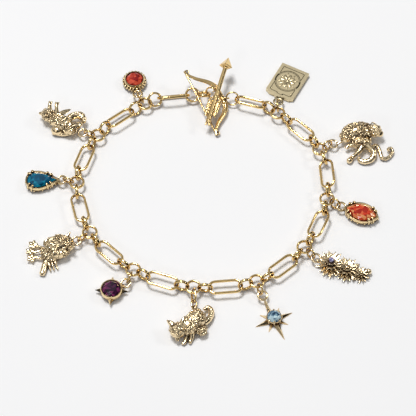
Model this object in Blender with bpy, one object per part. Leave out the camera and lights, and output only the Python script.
"""Charm bracelet: a closed loop of long and short gold links, eleven charms on
jump rings, and a bow-and-arrow toggle clasp. It lies on a flat surface.
Lengths are in metres, +Z is up, and the origin is at the middle of the base."""
import math

import bmesh
import bpy
from mathutils import Matrix, Vector

OBJECT_NAME = "charm_bracelet"

# Wire and links of the chain
WIRE_THICKNESS = 0.00057
WIRE_BAND = 0.0009
LINK_LENGTH = 0.0086
LINK_WIDTH = 0.0039
RING_DIAMETER = 0.00395
LINK_SIDES = 12
RING_SIDES = 10
WIRE_SIDES = 6
LINK_COUNT = 12
PLAY = 0.0002
SOLDER_LAP = 0.00006
SPECK_CORNERS = 12

# Round rings of thin wire
THIN_RING_DIAMETER = 0.0037
THIN_RING_WIRE = 0.00045
JUMP_DIAMETER = 0.0032
JUMP_WIRE = 0.0005
LOOP_DIAMETER = 0.0028
LOOP_WIRE = 0.00055

# Route of the chain seen from above, clockwise from the clasp
CHAIN_ROUTE = [
    (0.0050, 0.0330), (0.0111, 0.0321), (0.0184, 0.0279), (0.0287, 0.0165), (0.0299, 0.0013),
    (0.0236, -0.0133), (0.0119, -0.0230), (-0.0038, -0.0246), (-0.0187, -0.0194), (-0.0295, -0.0084),
    (-0.0331, 0.0070), (-0.0278, 0.0218), (-0.0154, 0.0318), (-0.0084, 0.0335), (0.0002, 0.0343),
]
CLASP_SPAN = 0.0050

# Turn of each long link about its own length, and of the outer rings of each trio
LINK_ROLLS = [-24, 0, 25, 12, 0, 0, 0, 6, 0, -8, -22, -50]
TRIO_ROLLS = [(76, 92), (88, 106), (104, 98), (98, 84), (82, 98), (84, 94),
              (94, 84), (86, 92), (92, 82), (84, 72), (66, 40)]
END_RING_ROLLS = (32, -38)
THIN_RING_ROLL = 34

# Each charm: bearing of its jump ring, turn of that ring, bearing of the charm itself
CHARM_BEARINGS = {
    "tag": (90, 84, 62),
    "monkey": (34, 78, 0),
    "marquise": (-32, 75, -20),
    "flowers": (-49, 80, -21),
    "star": (-71, 78, -66),
    "fox": (-88, 66, -92),
    "round_points": (-113, 76, -151),
    "owl": (-142, 80, -162),
    "pear": (161, 76, 181),
    "squirrel": (164, 80, 164),
    "round_beaded": (122, 78, 102),
}
JUMP_DIP = 5
LOOP_DIP = 11
LOOP_TURN = 12

# Stones and their metal settings
STONE_GAP = 0.00015
SETTING_WALL = 0.00045
SEAT_FLOOR = 0.0006
CROWN_HEIGHT = 0.0008
GIRDLE_THICKNESS = 0.0001
CLAW_RADIUS = 0.00028
POINT_RADIUS = 0.0008
BEADS = 16
BEADED_BAIL = 0.0003
MARQUISE_STONE = (0.0038, 0.0023)
PEAR_STONE = (0.0036, 0.0026)
PURPLE_RADIUS = 0.00228
RED_RADIUS = 0.00215
BLUE_RADIUS = 0.00170
OPEN_SETTING_HEIGHT = 0.0017
ROUND_SETTING_HEIGHT = 0.0021
BEADED_RIM_WIDTH = 0.0009
POINT_LENGTH = 0.0014
POINT_BEARINGS = (58, 148, 238, 328)

# Star charm: rays from the one opposite the ring, anticlockwise
STAR_FAR_RAY = 0.0060
STAR_NEAR_RAY = 0.0055
STAR_SIDE_RAY = 0.00485
STAR_SHORT_RAY = 0.0036
STAR_WAIST = 0.0018
STAR_EDGE = 0.0004
STAR_HEART = 0.0010
STAR_SEAT_RISE = 0.0001
STAR_SEAT_DEPTH = 0.0006

# Tag charm
TAG_LENGTH = 0.0101
TAG_WIDTH = 0.0078
TAG_THICKNESS = 0.0012
TAG_BAIL = 0.0011
TAG_SIDE = 0.0010
TAG_BORDER = 0.0006
GROOVE_WIDTH = 0.0003
RELIEF = 0.0002
TAG_SLOPE = 0.00008
MEDALLION_RIM = 0.0004
MEDALLION_RADIUS = 0.0034
ROSETTE_RADIUS = 0.0023

# Flower spray: distance from the ring, radius, height of the heart and number of petals
FLOWERS = [(0.0043, 0.0041, 0.0030, 10), (0.0084, 0.0035, 0.0025, 9), (0.0121, 0.0025, 0.0020, 7)]
PETAL_THICKNESS = 0.0004
SPRAY_STEM = 0.0007
STEM_HEIGHT = 0.0011
STEM_START = 0.0020
STEM_SIDE = 0.0012

# Animal charms: lengths of their bodies, which all the shares below follow
MONKEY_SIZE = 0.0100
MONKEY_LEAD = (0.0008, 0.0005)
FOX_SIZE = 0.0100
OWL_SIZE = 0.0100
SQUIRREL_SIZE = 0.0100

# Fox charm's own hangers
FOX_BAIL_LENGTH = 0.0041
FOX_BAIL_WIDTH = 0.0031
FOX_BAIL_TAPER = 0.36
FOX_BAIL_PLAY = 0.0005
FOX_LINK_LENGTH = 0.0026
FOX_LINK_WIDTH = 0.0017
FOX_LINK_WIRE = 0.0004
FOX_LOOP_DIAMETER = 0.0021

# Clasp: a bow whose string closes its opening, and an arrow that lies across it
BOW_LENGTH = 0.0199
BOW_DEPTH = 0.0060
BOW_GRIP_RADIUS = 0.00055
BOW_TIP_RADIUS = 0.00038
STRING_RADIUS = 0.00027
BOW_YAW = -64
BOW_PITCH = 13.5
BOW_ROLL = 7
BOW_EYE_DIAMETER = 0.0020
BOW_EYE_WIRE = 0.0005
BOW_EYE_ROLL = -52
STRING_SHARE = 0.93
STRING_SET = 0.0001
SCROLL_RADIUS = 0.0005
SCROLL_SET = 0.00065
# The upper half of the bow's curve, as shares of half its length and of its depth
BOW_CURVE = [(1.00, 0.00), (0.85, 0.08), (0.68, 0.34), (0.48, 0.78), (0.28, 1.01), (0.08, 1.00)]
ARROW_YAW = 74.3
ARROW_PITCH = 7.5
ARROW_SHAFT_RADIUS = 0.00062
ARROW_TAIL_REACH = 0.0113
ARROW_HEAD_REACH = 0.0068
ARROW_HEAD_LENGTH = 0.0027
ARROW_HEAD_RADIUS = 0.0018
ARROW_COLLAR = 0.0003
FLETCH_START = 0.0037
FLETCH_RIBS = 4
FLETCH_STEP = 0.0012
FLETCH_WIDTH = 0.0015
FLETCH_THICKNESS = 0.0005
ARROW_EYE_DIAMETER = 0.0017
ARROW_EYE_WIRE = 0.0004
ARROW_EYE_ROLL = -40
ARROW_RING_DIAMETER = 0.0033
ARROW_RING_WIRE = 0.00045
ARROW_RING_YAW = -2
ARROW_RING_RISE = 44
ARROW_RING_PLAY = 0.0005
ARROW_RING_ROLL = 52

# Gold of the chain, darker cast gold of the charms, and the stones
FINISHES = {
    "polished_gold": ((0.84, 0.66, 0.36), 0.16, 1.0),
    "cast_gold": ((0.74, 0.62, 0.39), 0.32, 1.0),
    "red_stone": ((0.72, 0.05, 0.03), 0.06, 0.0),
    "coral_stone": ((0.90, 0.22, 0.13), 0.06, 0.0),
    "teal_stone": ((0.02, 0.27, 0.40), 0.06, 0.0),
    "blue_stone": ((0.06, 0.22, 0.38), 0.06, 0.0),
    "purple_stone": ((0.11, 0.03, 0.15), 0.06, 0.0),
}


def clear_scene():
    for thing in list(bpy.data.objects):
        bpy.data.objects.remove(thing, do_unlink=True)


def make_finish(name):
    colour, roughness, metallic = FINISHES[name]
    finish = bpy.data.materials.new(name)
    finish.use_nodes = True
    shader = finish.node_tree.nodes["Principled BSDF"]
    shader.inputs["Base Color"].default_value = (*colour, 1.0)
    shader.inputs["Roughness"].default_value = roughness
    shader.inputs["Metallic"].default_value = metallic
    return finish


clear_scene()
PARTS = bpy.data.collections.new(OBJECT_NAME)
bpy.context.scene.collection.children.link(PARTS)
WORK = bpy.data.collections.new("work_shapes")
bpy.context.scene.collection.children.link(WORK)
MATERIALS = {name: make_finish(name) for name in FINISHES}


def link_object(name, mesh, collection):
    thing = bpy.data.objects.new(name, mesh)
    collection.objects.link(thing)
    return thing


def from_bmesh(bm, name="shape"):
    """A work shape from a bmesh, which is freed."""
    bmesh.ops.recalc_face_normals(bm, faces=bm.faces[:])
    mesh = bpy.data.meshes.new(name)
    bm.to_mesh(mesh)
    bm.free()
    return link_object(name, mesh, WORK)


def evaluated_mesh(thing, name):
    bpy.context.view_layer.update()
    graph = bpy.context.evaluated_depsgraph_get()
    mesh = bpy.data.meshes.new_from_object(thing.evaluated_get(graph))
    mesh.name = name
    return mesh


def finish_part(name, mesh, finish, place=None):
    """A named solid of the bracelet, shaded smooth on its round stretches."""
    part = link_object(name, mesh, PARTS)
    mesh.materials.clear()
    mesh.materials.append(MATERIALS[finish])
    mesh.shade_smooth()
    mesh.set_sharp_from_angle(angle=math.radians(40))
    if place is not None:
        mesh.transform(place)
    return part


def drop_specks(bm):
    """Removes the few-cornered specks that a join can leave between two shapes."""
    left = set(bm.verts)
    while left:
        island = {left.pop()}
        edge = list(island)
        while edge:
            corner = edge.pop()
            fresh = {link.other_vert(corner) for link in corner.link_edges} - island
            island |= fresh
            edge += fresh
        left -= island
        if len(island) < SPECK_CORNERS:
            bmesh.ops.delete(bm, geom=list(island), context="VERTS")


def fuse(name, shapes, finish, place=None):
    """Joins overlapping closed shapes into one closed body, as solder or a casting does."""
    base = shapes[0]
    for shape in shapes[1:]:
        join = base.modifiers.new("join", "BOOLEAN")
        join.operation = "UNION"
        join.solver = "EXACT"
        join.use_self = True
        join.object = shape
    mesh = evaluated_mesh(base, name)
    for shape in shapes:
        bpy.data.objects.remove(shape, do_unlink=True)
    bm = bmesh.new()
    bm.from_mesh(mesh)
    bmesh.ops.remove_doubles(bm, verts=bm.verts[:], dist=0.000002)
    bmesh.ops.dissolve_degenerate(bm, dist=0.000002, edges=bm.edges[:])
    drop_specks(bm)
    bmesh.ops.triangulate(bm, faces=bm.faces[:])
    bm.to_mesh(mesh)
    bm.free()
    return finish_part(name, mesh, finish, place)


def wire_ring(length, width, thickness, band, sides, place=Matrix.Identity(4), taper=0.0):
    """A closed wire link in its own XY plane, long way along X, flats at both ends.
    Its outer size is measured over the flats, and taper narrows it towards +X."""
    bpy.ops.mesh.primitive_torus_add(
        major_segments=sides, minor_segments=WIRE_SIDES,
        major_radius=(width - thickness) / 2, minor_radius=thickness / 2)
    ring = bpy.context.object
    for owner in list(ring.users_collection):
        owner.objects.unlink(ring)
    WORK.objects.link(ring)
    over_flats = 1 / math.cos(math.pi / sides)
    band_scale = band / (thickness * math.sin(math.radians(60)))
    half_straight = (length - width) / 2
    turn = Matrix.Rotation(math.pi / sides, 4, "Z")
    for vertex in ring.data.vertices:
        spot = turn @ vertex.co
        x = spot.x * over_flats
        y = spot.y * over_flats
        if half_straight > 0:
            x += math.copysign(half_straight, x)
        y *= 1 - taper * (x / length + 0.5)
        vertex.co = place @ Vector((x, y, spot.z * band_scale))
    return ring


def blob(centre, radii, turn=0.0, tilt=0.0, segments=8, rings=6):
    """A rounded form: an ellipsoid turned about Z and then tipped about its own Y."""
    bm = bmesh.new()
    bmesh.ops.create_uvsphere(bm, u_segments=segments, v_segments=rings, radius=1.0)
    frame = (Matrix.Translation(Vector(centre)) @ Matrix.Rotation(math.radians(turn), 4, "Z")
             @ Matrix.Rotation(math.radians(tilt), 4, "Y") @ Matrix.Diagonal((*radii, 1.0)))
    bmesh.ops.transform(bm, matrix=frame, verts=bm.verts[:])
    return from_bmesh(bm)


def smooth_points(points, per_span):
    """Points along a smooth open curve through the given ones."""
    ends = [points[0] * 2 - points[1]] + list(points) + [points[-1] * 2 - points[-2]]
    result = []
    for a, b, c, d in zip(ends, ends[1:], ends[2:], ends[3:]):
        for step in range(per_span):
            t = step / per_span
            result.append(0.5 * (2 * b + (c - a) * t + (2 * a - 5 * b + 4 * c - d) * t ** 2
                                 + (3 * b - a - 3 * c + d) * t ** 3))
    result.append(points[-1].copy())
    return result


def limb(points, radii, per_span=2):
    """A tapering round rod through the given points, with its own radius at each of them."""
    knots = [Vector((*point, radius)) for point, radius in zip(points, radii)]
    curve = bpy.data.curves.new("limb", "CURVE")
    curve.dimensions = "3D"
    curve.bevel_depth = 1.0
    curve.bevel_resolution = 1
    curve.use_fill_caps = True
    path = smooth_points(knots, per_span)
    spline = curve.splines.new("POLY")
    spline.points.add(len(path) - 1)
    for target, knot in zip(spline.points, path):
        target.co = (knot[0], knot[1], knot[2], 1.0)
        target.radius = knot[3]
    rod = link_object("limb", curve, WORK)
    mesh = evaluated_mesh(rod, "limb")
    bpy.data.objects.remove(rod, do_unlink=True)
    bm = bmesh.new()
    bm.from_mesh(mesh)
    bmesh.ops.remove_doubles(bm, verts=bm.verts[:], dist=0.000001)
    return from_bmesh(bm)


def stack(levels):
    """A closed solid that rises, steps in or drops from one outline to the next.
    Each level is a height and an outline, and all outlines have as many points."""
    bm = bmesh.new()
    height, outline = levels[0]
    corners = [bm.verts.new((x, y, height)) for x, y in outline]
    top = bm.faces.new(corners)
    for height, outline in levels[1:]:
        below = [corner.co.copy() for corner in corners]
        grown = bmesh.ops.extrude_face_region(bm, geom=[top, *top.edges])
        top = next(item for item in grown["geom"] if isinstance(item, bmesh.types.BMFace))
        fresh = list(top.verts)
        corners = [min(fresh, key=lambda vert: (vert.co - spot).length) for spot in below]
        for corner, (x, y) in zip(corners, outline):
            corner.co = (x, y, height)
    return from_bmesh(bm)


def round_outline(radius, count, centre=(0.0, 0.0), turn=0.0):
    angles = [turn + 2 * math.pi * index / count for index in range(count)]
    return [(centre[0] + radius * math.cos(a), centre[1] + radius * math.sin(a)) for a in angles]


def star_outline(radii, turn=0.0):
    """An outline whose radius runs through the given list, again and again round the circle."""
    count = len(radii)
    angles = [turn + 2 * math.pi * index / count for index in range(count)]
    return [(r * math.cos(a), r * math.sin(a)) for r, a in zip(radii, angles)]


def marquise_outline(half_length, half_width, per_side=6):
    """Two equal arcs that meet in a point at each end."""
    arc_radius = (half_length ** 2 + half_width ** 2) / (2 * half_width)
    sweep = math.asin(half_length / arc_radius)
    side = []
    for index in range(per_side):
        angle = -sweep + 2 * sweep * index / per_side
        side.append((-arc_radius * math.sin(angle), arc_radius * math.cos(angle) - arc_radius + half_width))
    return side + [(-x, -y) for x, y in side]


def pear_outline(half_length, half_width, count=14):
    """A drop with its point towards -X."""
    outline = []
    for index in range(count):
        t = 2 * math.pi * index / count
        outline.append((-half_length * math.cos(t), -1.14 * half_width * math.sin(t) * math.sin(t / 2) ** 1.1))
    return outline


def moved(outline, x, y=0.0):
    return [(px + x, py + y) for px, py in outline]


def scaled(outline, share):
    return [(x * share, y * share) for x, y in outline]


def smooth_route(points, per_span=24):
    """A smooth closed curve through the chosen points of the route."""
    count = len(points)
    route = []
    for index in range(count):
        a, b, c, d = (Vector(points[(index + shift) % count]) for shift in (-1, 0, 1, 2))
        for step in range(per_span):
            t = step / per_span
            route.append(0.5 * (2 * b + (c - a) * t + (2 * a - 5 * b + 4 * c - d) * t ** 2
                                + (3 * b - a - 3 * c + d) * t ** 3))
    return route


def walk(route, chords):
    """Points along the route, each one chord beyond the last, and how far round the last one is."""
    spots = [route[0].copy()]
    segment = 0
    start = route[0].copy()
    for chord in chords:
        here = spots[-1]
        while (route[(segment + 1) % len(route)] - here).length < chord:
            segment += 1
            start = route[segment % len(route)]
        end = route[(segment + 1) % len(route)]
        low, high = 0.0, 1.0
        for _ in range(40):
            middle = (low + high) / 2
            if (start.lerp(end, middle) - here).length < chord:
                low = middle
            else:
                high = middle
        start = start.lerp(end, high)
        spots.append(start.copy())
    return spots, segment


# The walk along the chain: every link reaches from the bearing point in one end to that in the other
INNER_LINK = LINK_LENGTH - 2 * WIRE_THICKNESS
INNER_RING = RING_DIAMETER - 2 * WIRE_THICKNESS
INNER_THIN = THIN_RING_DIAMETER - 2 * THIN_RING_WIRE
INNER_JUMP = JUMP_DIAMETER - 2 * JUMP_WIRE
CHAIN_HEIGHT = RING_DIAMETER / 2 / math.cos(math.pi / RING_SIDES)


def chain_elements():
    """Each link in order: its kind, number, inner length, play before and after it, and roll."""
    elements = [("thin", 0, INNER_THIN, PLAY, PLAY, THIN_RING_ROLL)]
    for number in range(LINK_COUNT):
        elements.append(("long", number, INNER_LINK, PLAY, PLAY, LINK_ROLLS[number % len(LINK_ROLLS)]))
        if number < LINK_COUNT - 1:
            first_roll, last_roll = TRIO_ROLLS[number % len(TRIO_ROLLS)]
            elements.append(("trio", number, INNER_RING, PLAY, -SOLDER_LAP, first_roll))
            elements.append(("trio", number, INNER_RING, -SOLDER_LAP, -SOLDER_LAP, 0))
            elements.append(("trio", number, INNER_RING, -SOLDER_LAP, PLAY, last_roll))
    elements.append(("end", 0, INNER_RING, PLAY, -SOLDER_LAP, END_RING_ROLLS[0]))
    elements.append(("end", 0, INNER_RING, -SOLDER_LAP, PLAY, END_RING_ROLLS[1]))
    return elements


def link_frame(start, end, roll, inner, play_before):
    """The frame of a link from one bearing point to the next: X along it, rolled about X."""
    along = (end - start).normalized()
    side = Vector((0.0, 0.0, 1.0)).cross(along).normalized()
    up = along.cross(side)
    roll = math.radians(roll)
    across = side * math.cos(roll) + up * math.sin(roll)
    normal = along.cross(across)
    centre = start + along * (inner / 2 - play_before / 2)
    frame = Matrix((along, across, normal)).transposed().to_4x4()
    frame.translation = centre
    return frame


def lay_chain():
    """Frames of all links on a route that is grown or shrunk until the chain just closes it."""
    elements = chain_elements()
    chords = [inner - (before + after) / 2 for _, _, inner, before, after, _ in elements]
    outline = smooth_route(CHAIN_ROUTE)
    low, high = 0.6, 1.6
    for _ in range(50):
        share = (low + high) / 2
        route = [point * share for point in outline]
        spots, segment = walk(route, chords)
        closed = segment >= len(route) or (spots[-1] - spots[0]).length < CLASP_SPAN
        if closed and segment > len(route) / 2:
            low = share
        else:
            high = share
    spots = [spot.to_3d() + Vector((0, 0, CHAIN_HEIGHT)) for spot in spots]
    frames = []
    for (kind, number, inner, before, _, roll), start, end in zip(elements, spots, spots[1:]):
        frames.append((kind, number, link_frame(start, end, roll, inner, before)))
    return frames, spots[0], spots[-1]


def bearing(yaw, dip=0.0):
    """A unit direction from its compass bearing in degrees, counted from +X, dipping below level."""
    yaw = math.radians(yaw)
    dip = math.radians(dip)
    return Vector((math.cos(yaw) * math.cos(dip), math.sin(yaw) * math.cos(dip), -math.sin(dip)))


def ring_frame(centre, along, roll):
    """The frame of a ring about its own middle, X along the given direction."""
    return link_frame(centre, centre + along, roll, 0.0, 0.0)


def band_ring(place):
    return wire_ring(RING_DIAMETER, RING_DIAMETER, WIRE_THICKNESS, WIRE_BAND, RING_SIDES, place)


def thin_loop(diameter, wire, place, length=None, taper=0.0):
    return wire_ring(length or diameter, diameter, wire, wire, RING_SIDES, place, taper)


def build_chain(frames):
    """Long links one by one, the soldered trios between them, and the rings at the clasp."""
    trios = {}
    end_rings = []
    for kind, number, frame in frames:
        if kind == "long":
            link = wire_ring(LINK_LENGTH, LINK_WIDTH, WIRE_THICKNESS, WIRE_BAND, LINK_SIDES, frame)
            fuse(f"long_link_{number + 1:02d}", [link], "polished_gold")
        elif kind == "thin":
            ring = thin_loop(THIN_RING_DIAMETER, THIN_RING_WIRE, frame)
            fuse("clasp_ring", [ring], "polished_gold")
        elif kind == "trio":
            trios.setdefault(number, []).append(frame)
        else:
            end_rings.append(frame)
    for number, trio in trios.items():
        fuse(f"ring_trio_{number + 1:02d}", [band_ring(frame) for frame in trio], "polished_gold")
    fuse("end_rings", [band_ring(frame) for frame in end_rings], "polished_gold")
    return [trio[1].translation.copy() for trio in trios.values()]


# Forms of the animals, as shares of their size: centre x, y, z, radii x, y, z, turn, tilt
MONKEY_FORMS = [
    (0.50, 0.26, 0.27, 0.47, 0.29, 0.235, 10, 0),
    (0.19, 0.12, 0.22, 0.19, 0.16, 0.16, 0, 0),
    (0.86, 0.20, 0.28, 0.21, 0.19, 0.19, 0, 0),
    (0.72, 0.46, 0.35, 0.13, 0.10, 0.12, 0, 0),
    (0.55, -0.04, 0.22, 0.26, 0.16, 0.17, 0, 0),
]
# Rods of the animals: points x, y, z and the radius there
MONKEY_RODS = [
    [(0.15, -0.19, 0.13, 0.055), (0.25, -0.09, 0.18, 0.06), (0.45, -0.15, 0.19, 0.07), (0.54, -0.03, 0.24, 0.08)],
    [(0.20, -0.56, 0.09, 0.075), (0.31, -0.42, 0.10, 0.05), (0.47, -0.30, 0.17, 0.07), (0.58, -0.12, 0.21, 0.09)],
    [(0.45, -0.46, 0.09, 0.05), (0.61, -0.56, 0.08, 0.07), (0.78, -0.50, 0.10, 0.08), (0.83, -0.30, 0.15, 0.08),
     (0.66, -0.12, 0.20, 0.09)],
    [(0.76, -0.22, 0.16, 0.07), (0.92, -0.14, 0.15, 0.07), (1.00, -0.36, 0.10, 0.06), (1.09, -0.48, 0.08, 0.05),
     (1.22, -0.40, 0.07, 0.045), (1.32, -0.24, 0.08, 0.045), (1.28, -0.16, 0.10, 0.045), (1.21, -0.21, 0.10, 0.035)],
]
FOX_FORMS = [
    (0.24, 0.08, 0.22, 0.24, 0.20, 0.20, 0, 0),
    (0.44, -0.12, 0.22, 0.22, 0.21, 0.20, 0, 0),
    (0.56, -0.36, 0.22, 0.19, 0.20, 0.18, 0, 0),
    (0.52, 0.22, 0.14, 0.15, 0.13, 0.12, 20, 0),
]
FOX_RODS = [
    [(0.64, -0.36, 0.20, 0.12), (0.76, -0.36, 0.16, 0.06), (0.80, -0.36, 0.15, 0.03)],
    [(0.50, -0.44, 0.26, 0.10), (0.42, -0.55, 0.29, 0.07), (0.35, -0.62, 0.28, 0.02)],
    [(0.50, -0.28, 0.30, 0.10), (0.40, -0.24, 0.40, 0.06), (0.34, -0.22, 0.44, 0.02)],
    [(0.50, -0.10, 0.16, 0.10), (0.66, -0.14, 0.10, 0.06), (0.80, -0.17, 0.07, 0.05), (0.84, -0.22, 0.06, 0.05)],
    [(0.31, 0.11, 0.17, 0.10), (0.27, 0.28, 0.13, 0.085), (0.11, 0.40, 0.11, 0.07), (-0.06, 0.42, 0.11, 0.06),
     (-0.14, 0.34, 0.11, 0.05), (-0.09, 0.25, 0.12, 0.04)],
]
OWL_FORMS = [
    (0.13, 0.05, 0.22, 0.18, 0.21, 0.18, 0, 0),
    (0.40, 0.06, 0.23, 0.31, 0.24, 0.215, 0, 0),
    (0.42, -0.14, 0.20, 0.27, 0.12, 0.17, 5, 0),
    (0.42, 0.26, 0.20, 0.27, 0.12, 0.17, -5, 0),
    (0.62, 0.16, 0.15, 0.20, 0.24, 0.13, 25, 0),
]
OWL_RODS = [
    [(0.10, -0.08, 0.30, 0.06), (0.00, -0.16, 0.36, 0.02)],
    [(0.10, 0.18, 0.30, 0.06), (0.02, 0.27, 0.36, 0.02)],
    [(0.13, 0.05, 0.34, 0.06), (0.17, 0.05, 0.44, 0.02)],
    [(0.58, 0.26, 0.12, 0.07), (0.56, 0.44, 0.09, 0.055), (0.54, 0.56, 0.07, 0.03)],
    [(0.64, 0.28, 0.12, 0.07), (0.65, 0.47, 0.09, 0.055), (0.65, 0.60, 0.07, 0.03)],
    [(0.70, 0.26, 0.12, 0.07), (0.74, 0.46, 0.09, 0.055), (0.76, 0.60, 0.07, 0.03)],
    [(0.54, -0.06, 0.14, 0.07), (0.66, 0.16, 0.12, 0.075), (0.82, 0.42, 0.10, 0.075), (0.93, 0.60, 0.085, 0.075)],
    [(0.60, 0.00, 0.13, 0.055), (0.76, -0.12, 0.10, 0.045), (0.90, -0.22, 0.09, 0.035), (1.00, -0.18, 0.09, 0.03)],
    [(0.72, 0.22, 0.11, 0.055), (0.88, 0.16, 0.10, 0.04), (1.02, 0.08, 0.09, 0.035)],
]
# Blossoms at the owl's twig ends: centre x, y, radius
OWL_BLOSSOMS = [(0.93, -0.27, 0.13), (1.05, -0.10, 0.12), (1.07, 0.10, 0.13)]
SQUIRREL_FORMS = [
    (0.40, -0.04, 0.23, 0.36, 0.22, 0.215, -14, 0),
    (0.16, 0.06, 0.19, 0.20, 0.17, 0.16, 0, 0),
    (0.80, -0.18, 0.24, 0.20, 0.18, 0.18, 0, 0),
    (0.46, 0.15, 0.14, 0.16, 0.11, 0.11, 10, 0),
    (0.38, -0.30, 0.28, 0.22, 0.10, 0.06, 140, 0),
]
SQUIRREL_RODS = [
    [(0.88, -0.19, 0.24, 0.10), (1.00, -0.20, 0.22, 0.06), (1.04, -0.20, 0.21, 0.03)],
    [(0.80, -0.28, 0.28, 0.08), (0.84, -0.42, 0.32, 0.055), (0.86, -0.50, 0.33, 0.05)],
    [(0.58, -0.20, 0.28, 0.09), (0.64, -0.38, 0.32, 0.055), (0.68, -0.52, 0.34, 0.05)],
    [(0.16, 0.14, 0.12, 0.07), (0.32, 0.19, 0.08, 0.055), (0.54, 0.21, 0.07, 0.045)],
    [(0.28, -0.10, 0.22, 0.11), (0.22, -0.28, 0.24, 0.11), (0.08, -0.38, 0.24, 0.11), (-0.08, -0.35, 0.22, 0.09),
     (-0.13, -0.26, 0.21, 0.06)],
]


def figure(size, forms, rods, neck, lead=(0.0, 0.0)):
    """The rounded forms and rods of an animal, and the rod that ties it to its ring."""
    origin = Vector((neck.x + lead[0], lead[1], 0.0))
    shapes = []
    for x, y, z, rx, ry, rz, turn, tilt in forms:
        centre = origin + Vector((x, y, z)) * size
        shapes.append(blob(centre, (rx * size, ry * size, rz * size), turn, tilt))
    for rod in rods:
        points = [origin + Vector((x, y, z)) * size for x, y, z, _ in rod]
        shapes.append(limb(points, [radius * size for *_, radius in rod], per_span=1))
    heart = origin + Vector(forms[0][:3]) * size
    shapes.append(limb([neck, neck.lerp(heart, 0.5), heart], [LOOP_WIRE * 0.6, LOOP_WIRE, LOOP_WIRE], per_span=1))
    return shapes


def build_monkey(neck, _):
    return figure(MONKEY_SIZE, MONKEY_FORMS, MONKEY_RODS, neck, MONKEY_LEAD)


def build_fox(neck, _):
    return figure(FOX_SIZE, FOX_FORMS, FOX_RODS, neck)


def build_squirrel(neck, _):
    return figure(SQUIRREL_SIZE, SQUIRREL_FORMS, SQUIRREL_RODS, neck)


def build_owl(neck, _):
    shapes = figure(OWL_SIZE, OWL_FORMS, OWL_RODS, neck)
    for x, y, radius in OWL_BLOSSOMS:
        petals = star_outline([radius * OWL_SIZE, radius * OWL_SIZE * 0.6] * 5)
        place = (neck.x + x * OWL_SIZE, y * OWL_SIZE)
        foot = 0.05 * OWL_SIZE
        shapes.append(stack([(foot, moved(scaled(petals, 0.7), *place)),
                             (foot + PETAL_THICKNESS, moved(petals, *place)),
                             (foot + 2 * PETAL_THICKNESS, moved(scaled(petals, 0.5), *place))]))
    return shapes


def grown(outline, margin):
    """The outline with each of its sides moved outwards by the margin."""
    result = []
    count = len(outline)
    for index in range(count):
        before, here, after = (Vector(outline[(index + shift) % count]) for shift in (-1, 0, 1))
        side = here - before
        first = Vector((side.y, -side.x)).normalized()
        side = after - here
        second = Vector((side.y, -side.x)).normalized()
        middle = (first + second).normalized()
        corner = here + middle * (margin / middle.dot(first))
        result.append((corner.x, corner.y))
    return result


def cut_stone(name, outline, frame, centre_x, seat, girdle):
    """A faceted stone that rises from its seat to a girdle, a crown and a flat table."""
    crown = girdle + GIRDLE_THICKNESS
    levels = [(seat + STONE_GAP, 0.3), (girdle, 1.0), (crown, 1.0), (crown + CROWN_HEIGHT * 0.6, 0.82),
              (crown + CROWN_HEIGHT, 0.56)]
    shape = stack([(height, moved(scaled(outline, share), centre_x)) for height, share in levels])
    fuse(name, [shape], name, frame)


def cup(outline, centre_x, foot, seat, height, flare=0.0):
    """A wall round the stone's outline, narrower at its foot, with a seat sunk in its top."""
    rim = moved(grown(outline, STONE_GAP + SETTING_WALL), centre_x)
    inner = moved(grown(outline, STONE_GAP), centre_x)
    narrow = moved(grown(outline, flare), centre_x)
    return stack([(foot, narrow), (foot + (height - foot) * 0.45, rim), (height, rim), (height, inner),
                  (seat, inner)])


def claws(outline, spots, centre_x, height):
    """Claws that rise from the setting's wall and bend in over the stone's edge."""
    ring = grown(outline, STONE_GAP + SETTING_WALL * 0.7)
    result = []
    for spot in spots:
        out = Vector((*ring[spot], 0.0))
        inward = Vector((*outline[spot], 0.0)) - out
        inward.normalize()
        knee = out + Vector((centre_x, 0.0, height + GIRDLE_THICKNESS + CLAW_RADIUS))
        foot = knee - Vector((0.0, 0.0, CLAW_RADIUS * 4))
        tip = knee + inward * (SETTING_WALL * 0.7) + Vector((0.0, 0.0, CROWN_HEIGHT * 0.6))
        result.append(limb([foot, knee, tip], [CLAW_RADIUS, CLAW_RADIUS, CLAW_RADIUS * 0.8], per_span=1))
    return result


def bridge(neck, x, z, radius):
    """The short neck of metal between a charm's ring and its setting."""
    return limb([neck, (x, 0.0, z)], [LOOP_WIRE * 0.6, radius], per_span=1)


def clawed_charm(name, outline, half_length, claw_spots, neck, frame):
    """A stone in an open setting with claws in pairs."""
    centre_x = neck.x + half_length + STONE_GAP + SETTING_WALL * 0.5
    height = OPEN_SETTING_HEIGHT
    cut_stone(name, outline, frame, centre_x, SEAT_FLOOR, height)
    return [cup(outline, centre_x, 0.0, SEAT_FLOOR, height), *claws(outline, claw_spots, centre_x, height),
            bridge(neck, centre_x - half_length, height * 0.6, LOOP_WIRE)]


def build_marquise(neck, frame):
    outline = marquise_outline(*MARQUISE_STONE)
    return clawed_charm("coral_stone", outline, MARQUISE_STONE[0], (1, 2, 4, 5, 7, 8, 10, 11), neck, frame)


def build_pear(neck, frame):
    outline = pear_outline(*PEAR_STONE)
    return clawed_charm("teal_stone", outline, PEAR_STONE[0], (3, 4, 6, 8, 10, 11), neck, frame)


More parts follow.
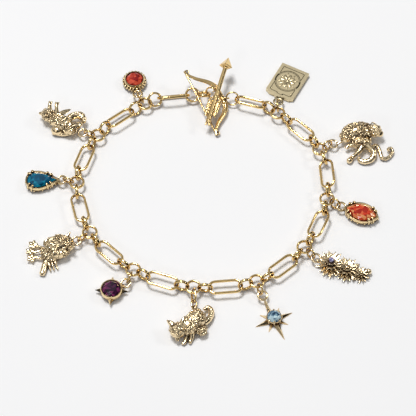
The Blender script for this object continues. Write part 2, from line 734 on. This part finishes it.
def build_round_points(neck, frame):
    """The purple stone in a plain round wall with four tapering points."""
    outline = round_outline(PURPLE_RADIUS, 16)
    rim = PURPLE_RADIUS + STONE_GAP + SETTING_WALL
    centre_x = neck.x + rim
    height = ROUND_SETTING_HEIGHT
    shapes = [cup(outline, centre_x, 0.0, SEAT_FLOOR, height), bridge(neck, centre_x - rim, height * 0.6, LOOP_WIRE)]
    for angle in POINT_BEARINGS:
        way = bearing(angle)
        foot = Vector((centre_x, 0, height * 0.6)) + way * (rim - SETTING_WALL * 0.6)
        shapes.append(limb([foot, foot + way * POINT_LENGTH], [POINT_RADIUS, POINT_RADIUS * 0.15], per_span=1))
    cut_stone("purple_stone", outline, frame, centre_x, SEAT_FLOOR, height)
    return shapes


def build_round_beaded(neck, frame):
    """The red stone in a deep round setting whose side is beaded."""
    rim = RED_RADIUS + STONE_GAP + BEADED_RIM_WIDTH
    centre_x = neck.x + rim + BEADED_BAIL
    beaded = moved(star_outline([rim * 0.92, rim] * BEADS), centre_x)
    plain = moved(star_outline([rim * 0.86] * (2 * BEADS)), centre_x)
    inner = moved(round_outline(RED_RADIUS + STONE_GAP * 1.3, 2 * BEADS), centre_x)
    height = ROUND_SETTING_HEIGHT
    cut_stone("red_stone", round_outline(RED_RADIUS, 16), frame, centre_x, SEAT_FLOOR, height)
    return [stack([(0.0, plain), (height * 0.3, beaded), (height * 0.75, beaded), (height, plain),
                   (height, inner), (SEAT_FLOOR, inner)]),
            bridge(neck, centre_x - rim * 0.8, height * 0.5, LOOP_WIRE * 1.4)]


def build_star(neck, frame):
    """An eight-pointed star with ridged rays and a blue stone at its heart."""
    centre_x = neck.x + STAR_NEAR_RAY
    rays = []
    for ray in (STAR_FAR_RAY, STAR_SHORT_RAY, STAR_SIDE_RAY, STAR_SHORT_RAY,
                STAR_NEAR_RAY, STAR_SHORT_RAY, STAR_SIDE_RAY, STAR_SHORT_RAY):
        rays += [ray, STAR_WAIST]
    outline = star_outline(rays)
    heart = star_outline([STAR_WAIST * 0.9] * len(rays))
    star = stack([(0.0, moved(scaled(outline, 0.94), centre_x)), (STAR_EDGE, moved(outline, centre_x)),
                  (STAR_HEART, moved(heart, centre_x))])
    stone = round_outline(BLUE_RADIUS, 16, turn=0.18)
    seat = STAR_HEART + STAR_SEAT_RISE
    height = seat + STAR_SEAT_DEPTH
    shapes = [star, cup(stone, centre_x, STAR_EDGE * 0.3, seat, height, SETTING_WALL),
              bridge(neck, centre_x - STAR_NEAR_RAY * 0.7, STAR_EDGE, LOOP_WIRE * 0.6)]
    shapes += claws(stone, (2, 6, 10, 14), centre_x, height)
    cut_stone("blue_stone", stone, frame, centre_x, seat, height)
    return shapes


def tag_outline(margin, start):
    """The plaque's outline, stepped at the ring end, drawn in by a margin all round."""
    shares = [(0.00, -0.16), (0.00, -0.38), (0.06, -0.50), (1.00, -0.50), (1.00, 0.50),
              (0.06, 0.50), (0.00, 0.38), (0.00, 0.16), (-0.04, 0.10), (-0.04, -0.10)]
    shrink_x = 1 - 2 * margin / TAG_LENGTH
    shrink_y = 1 - 2 * margin / TAG_WIDTH
    return [(start + TAG_LENGTH * (0.5 + (x - 0.5) * shrink_x), TAG_SIDE + TAG_WIDTH * y * shrink_y)
            for x, y in shares]


def build_tag(neck, _):
    """A plaque with a cut frame line, a round medallion and a plain eight-petalled rosette."""
    start = neck.x + TAG_BAIL
    inner = TAG_BORDER + GROOVE_WIDTH
    slope = TAG_SLOPE
    top = TAG_THICKNESS
    plaque = stack([(0.0, tag_outline(0.0, start)), (top - slope, tag_outline(0.0, start)),
                    (top, tag_outline(slope, start)), (top, tag_outline(TAG_BORDER, start)),
                    (top - RELIEF, tag_outline(TAG_BORDER + slope, start)),
                    (top - RELIEF, tag_outline(inner, start)), (top, tag_outline(inner + slope, start))])
    centre = start + TAG_LENGTH * 0.52
    disc = round_outline(MEDALLION_RADIUS, 20)
    step = round_outline(MEDALLION_RADIUS - MEDALLION_RIM, 20)
    medallion = stack([(top * 0.5, moved(disc, centre, TAG_SIDE)), (top + RELIEF, moved(disc, centre, TAG_SIDE)),
                       (top + RELIEF, moved(step, centre, TAG_SIDE)),
                       (top + RELIEF / 2, moved(scaled(step, 0.98), centre, TAG_SIDE))])
    petals = star_outline([ROSETTE_RADIUS, ROSETTE_RADIUS * 0.55] * 8)
    rosette = stack([(top * 0.6, moved(petals, centre, TAG_SIDE)),
                     (top + RELIEF * 0.9, moved(petals, centre, TAG_SIDE)),
                     (top + RELIEF * 1.6, moved(scaled(petals, 0.4), centre, TAG_SIDE))])
    bail = limb([neck, (start + TAG_BORDER, TAG_SIDE * 0.6, top * 0.5)], [LOOP_WIRE * 0.7, LOOP_WIRE], per_span=1)
    return [plaque, medallion, rosette, bail]


def build_flowers(neck, _):
    """Three daisy-like blossoms in a row, each of two layers of pointed petals, on a stem with a bead."""
    shapes = []
    for place, radius, height, count in FLOWERS:
        centre_x = neck.x + place - LOOP_DIAMETER / 2
        for foot, top, share, turn in ((0.10, 0.62, 1.0, 0.03), (0.34, 0.85, 0.7, 2.5 / count)):
            outer = star_outline([radius * share, radius * share * 0.6] * count, turn)
            core = scaled(outer, 0.3)
            shapes.append(stack([(height * foot, moved(core, centre_x)),
                                 (height * (foot + top) / 2, moved(outer, centre_x)),
                                 (height * top, moved(core, centre_x))]))
        shapes.append(blob((centre_x, 0.0, height * 0.85), (radius * 0.22, radius * 0.22, height * 0.15)))
    far, reach, *_ = FLOWERS[-1]
    end = Vector((neck.x + far + reach * 0.6 - LOOP_DIAMETER / 2, STEM_SIDE, STEM_HEIGHT))
    middle = Vector((neck.x + FLOWERS[1][0], 0.0, STEM_HEIGHT))
    shapes.append(limb([neck, (neck.x + STEM_START, 0.0, STEM_HEIGHT), middle, end],
                       [LOOP_WIRE * 0.6, SPRAY_STEM, SPRAY_STEM, SPRAY_STEM * 0.6], per_span=1))
    shapes.append(blob(end, (SPRAY_STEM, SPRAY_STEM, SPRAY_STEM)))
    return shapes


def placed(shape, frame):
    shape.data.transform(frame)
    return shape


def hang_charm(name, builder, centre):
    """A charm on its jump ring, hung from the middle ring of a trio, lying away from the chain."""
    jump_yaw, jump_roll, charm_yaw = CHARM_BEARINGS[name]
    away = bearing(jump_yaw, JUMP_DIP)
    if name == "fox":
        hang_fox(builder, centre, away, jump_roll, charm_yaw)
        return
    middle = centre + away * (INNER_RING / 2 - PLAY - JUMP_WIRE + JUMP_DIAMETER / 2)
    jump = thin_loop(JUMP_DIAMETER, JUMP_WIRE, ring_frame(middle, away, jump_roll))
    fuse(f"jump_ring_{name}", [jump], "polished_gold")
    contact = middle + away * (INNER_JUMP / 2 - PLAY - LOOP_WIRE / 2)
    turn = max(-LOOP_TURN, min(LOOP_TURN, charm_yaw - jump_yaw))
    cast_charm(name, builder, contact, jump_yaw + turn, charm_yaw, LOOP_DIAMETER, LOOP_WIRE, 0)


def hang_fox(builder, centre, away, roll, charm_yaw):
    """The fox hangs by a V-shaped bail and a small link instead of a jump ring."""
    middle = centre + away * (INNER_RING / 2 - FOX_BAIL_PLAY - JUMP_WIRE + FOX_BAIL_LENGTH / 2)
    frame = ring_frame(middle, away, roll)
    bail = thin_loop(FOX_BAIL_WIDTH, JUMP_WIRE, frame, FOX_BAIL_LENGTH, FOX_BAIL_TAPER)
    fuse("fox_bail", [bail], "polished_gold")
    middle += away * (FOX_BAIL_LENGTH / 2 - JUMP_WIRE - PLAY - FOX_LINK_WIRE + FOX_LINK_LENGTH / 2)
    frame = ring_frame(middle, away, roll - 90)
    link = thin_loop(FOX_LINK_WIDTH, FOX_LINK_WIRE, frame, FOX_LINK_LENGTH)
    fuse("fox_link", [link], "polished_gold")
    contact = middle + away * (FOX_LINK_LENGTH / 2 - FOX_LINK_WIRE - PLAY - JUMP_WIRE / 2)
    cast_charm("fox", builder, contact, charm_yaw, charm_yaw, FOX_LOOP_DIAMETER, JUMP_WIRE, roll)


def cast_charm(name, builder, contact, loop_yaw, yaw, diameter, wire, roll):
    """The charm's own ring and its body, cast in one piece."""
    reach = (diameter - wire) / 2
    centre = contact + bearing(loop_yaw, LOOP_DIP) * reach
    frame = Matrix.Translation((centre.x, centre.y, 0.0)) @ Matrix.Rotation(math.radians(yaw), 4, "Z")
    local = Vector((0.0, 0.0, centre.z))
    away = bearing(0, LOOP_DIP)
    loop = thin_loop(diameter, wire, ring_frame(local, away, roll))
    neck = local + away * (reach - wire * 0.13)
    fuse(f"charm_{name}", [loop] + builder(neck, frame), "cast_gold", frame)


def build_bow(start, along):
    """The bow, its string and the ring on its grip, all soldered together."""
    eye_reach = BOW_EYE_DIAMETER / 2 - BOW_EYE_WIRE - PLAY / 2
    eye_centre = start - along * eye_reach
    eye = thin_loop(BOW_EYE_DIAMETER, BOW_EYE_WIRE, ring_frame(eye_centre, along, BOW_EYE_ROLL))
    frame = ring_frame(eye_centre, bearing(BOW_YAW, BOW_PITCH), -BOW_ROLL)
    half = BOW_LENGTH / 2
    heart = Vector((0.045 * BOW_LENGTH, BOW_DEPTH + BOW_EYE_DIAMETER / 2, 0.0))
    frame = frame @ Matrix.Translation(-heart)
    upper = [Vector((-u * half, v * BOW_DEPTH, 0.0)) for u, v in BOW_CURVE]
    lower = [Vector((-point.x, point.y, 0.0)) for point in reversed(upper)]
    radii = [BOW_TIP_RADIUS] * 2 + [BOW_GRIP_RADIUS * 0.9] * 2 + [BOW_GRIP_RADIUS] * 2
    bow = limb(upper + lower, radii + radii[::-1], per_span=2)
    string_end = STRING_SHARE * half
    string = limb([(-string_end, STRING_SET, 0), (string_end, STRING_SET, 0)], [STRING_RADIUS] * 2, per_span=1)
    scrolls = [blob((side * (half - SCROLL_RADIUS), SCROLL_SET, 0), [SCROLL_RADIUS] * 3) for side in (-1, 1)]
    fuse("clasp_bow", [placed(shape, frame) for shape in [bow, string, *scrolls]] + [eye], "polished_gold")


def build_arrow(end):
    """The arrow that bars the bow, with feathers, a four-sided head and a ring on its side."""
    rising = bearing(ARROW_RING_YAW, -ARROW_RING_RISE)
    inner = ARROW_RING_DIAMETER - 2 * ARROW_RING_WIRE
    ring = thin_loop(ARROW_RING_DIAMETER, ARROW_RING_WIRE,
                     link_frame(end, end + rising, ARROW_RING_ROLL, inner, ARROW_RING_PLAY))
    fuse("arrow_ring", [ring], "polished_gold")
    reach = inner - (ARROW_RING_PLAY + PLAY) / 2
    eye_centre = end + rising * (reach + ARROW_EYE_DIAMETER / 2 - ARROW_EYE_WIRE - PLAY / 2)
    eye = thin_loop(ARROW_EYE_DIAMETER, ARROW_EYE_WIRE, ring_frame(eye_centre, rising, ARROW_EYE_ROLL))
    axis = eye_centre + rising * (ARROW_EYE_DIAMETER / 2 + ARROW_SHAFT_RADIUS * 0.6)
    frame = ring_frame(axis, bearing(ARROW_YAW, -ARROW_PITCH), 0)
    shaft = limb([(-ARROW_TAIL_REACH, 0, 0), (ARROW_HEAD_REACH, 0, 0)], [ARROW_SHAFT_RADIUS] * 2, per_span=1)
    square = round_outline(ARROW_HEAD_RADIUS, 4)
    collar = stack([(-ARROW_COLLAR, scaled(square, 0.75)), (0.0, square), (ARROW_HEAD_LENGTH, scaled(square, 0.08))])
    head_frame = Matrix.Translation((ARROW_HEAD_REACH, 0, 0)) @ Matrix.Rotation(math.radians(90), 4, "Y")
    placed(collar, head_frame)
    edge = []
    for index in range(FLETCH_RIBS):
        front = -FLETCH_START - index * FLETCH_STEP
        edge += [(front, FLETCH_WIDTH), (front - FLETCH_STEP * 0.55, FLETCH_WIDTH * 0.97),
                 (front - FLETCH_STEP * 0.75, FLETCH_WIDTH * 0.72)]
    outline = [(-FLETCH_START + FLETCH_STEP, 0.0)] + edge
    outline += [(-FLETCH_START - FLETCH_RIBS * FLETCH_STEP, 0.0)]
    outline += [(x, -y) for x, y in reversed(edge)]
    feathers = stack([(-FLETCH_THICKNESS / 2, outline), (FLETCH_THICKNESS / 2, outline)])
    fuse("clasp_arrow", [placed(shape, frame) for shape in (shaft, collar, feathers)] + [eye], "polished_gold")


CHARM_BUILDERS = {
    "tag": build_tag, "monkey": build_monkey, "marquise": build_marquise, "flowers": build_flowers,
    "star": build_star, "fox": build_fox, "round_points": build_round_points, "owl": build_owl,
    "pear": build_pear, "squirrel": build_squirrel, "round_beaded": build_round_beaded,
}


def set_origin():
    """Moves everything so that the middle of the base of its box is at the origin."""
    corners = [vertex.co for part in PARTS.objects for vertex in part.data.vertices]
    low = [min(corner[axis] for corner in corners) for axis in range(3)]
    high = [max(corner[axis] for corner in corners) for axis in range(3)]
    shift = Matrix.Translation((-(low[0] + high[0]) / 2, -(low[1] + high[1]) / 2, -low[2]))
    for part in PARTS.objects:
        part.data.transform(shift)


FRAMES, START, END = lay_chain()
STATIONS = build_chain(FRAMES)
build_bow(START, FRAMES[0][2].col[0].xyz)
build_arrow(END)
for (charm, builder), station in zip(CHARM_BUILDERS.items(), STATIONS):
    hang_charm(charm, builder, station)
set_origin()
bpy.data.collections.remove(WORK)
